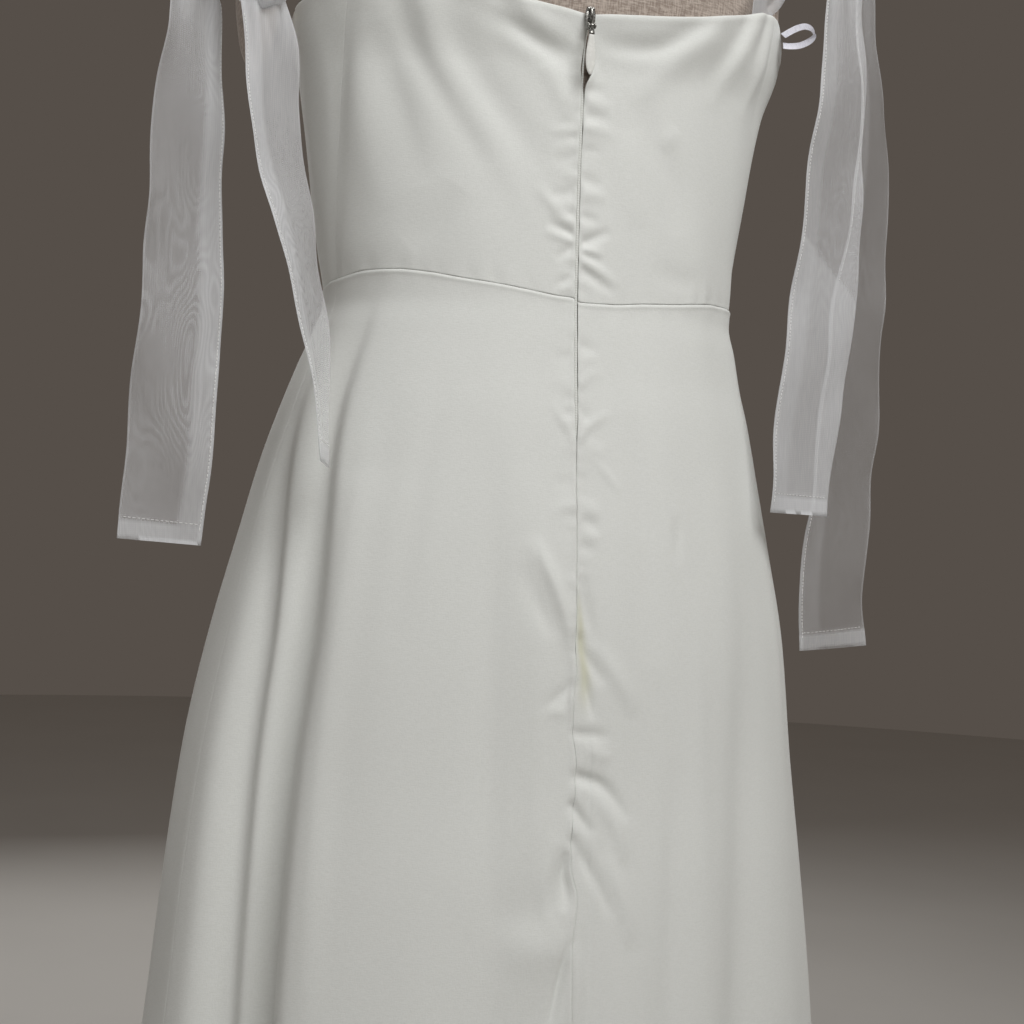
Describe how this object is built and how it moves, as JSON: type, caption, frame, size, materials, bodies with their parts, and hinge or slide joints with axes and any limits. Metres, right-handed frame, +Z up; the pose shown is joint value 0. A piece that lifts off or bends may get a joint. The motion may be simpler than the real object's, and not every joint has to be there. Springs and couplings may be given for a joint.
{
  "type": "wedding gown on dress form",
  "caption": "Full-length ivory A-line gown with a waist seam, back zip and sheer organza shoulder ties, hanging on a plain linen dress form with a round base.",
  "frame": {"origin": "centre of the round base's underside, on the floor", "axes": "+Z up, +Y towards the gown's front, +X to the right of a person who looks at its zipped back"},
  "size_m": [0.5306, 0.4738, 1.4303],
  "materials": {
    "crepe": "matt ivory crepe with a soft sheen",
    "organza": "sheer crisp white organza, double layer",
    "satin": "narrow white satin ribbon",
    "zip_tape": "closed ivory invisible zip",
    "zip_metal": "small nickel slider",
    "enamel": "ivory enamelled pull tab",
    "linen": "plain beige linen over a hard torso",
    "black_wood": "black satin turned wood",
    "black_metal": "satin black paint"
  },
  "bodies": {
    "gown": {"bodice_front": "crepe", "bodice_back_left": "crepe", "bodice_back_right": "crepe", "skirt_front": "crepe", "skirt_back_left": "crepe", "skirt_back_right": "crepe", "zip_chain": "zip_tape", "zip_slider": "zip_metal", "knot_left": "organza", "knot_right": "organza", "tail_left_outer": "organza", "tail_left_inner": "organza", "tail_right_front": "organza", "tail_right_back": "organza", "strap_back_left": "organza", "strap_back_right": "organza", "strap_front_left": "organza", "strap_front_right": "organza", "hanger_loop": "satin", "form_torso": "linen", "form_neck_cap": "black_wood", "form_pole": "black_metal", "form_base": "black_metal"},
    "pull_tab": {"zip_pull": "enamel"}
  },
  "joints": [
    {"name": "pull_tab_hinge", "type": "hinge", "parent": "gown", "child": "pull_tab", "pos_m": [0, -0.09418, 1.212], "axis": [-1, 0, 0], "range_deg": [-8, 150]}
  ]
}
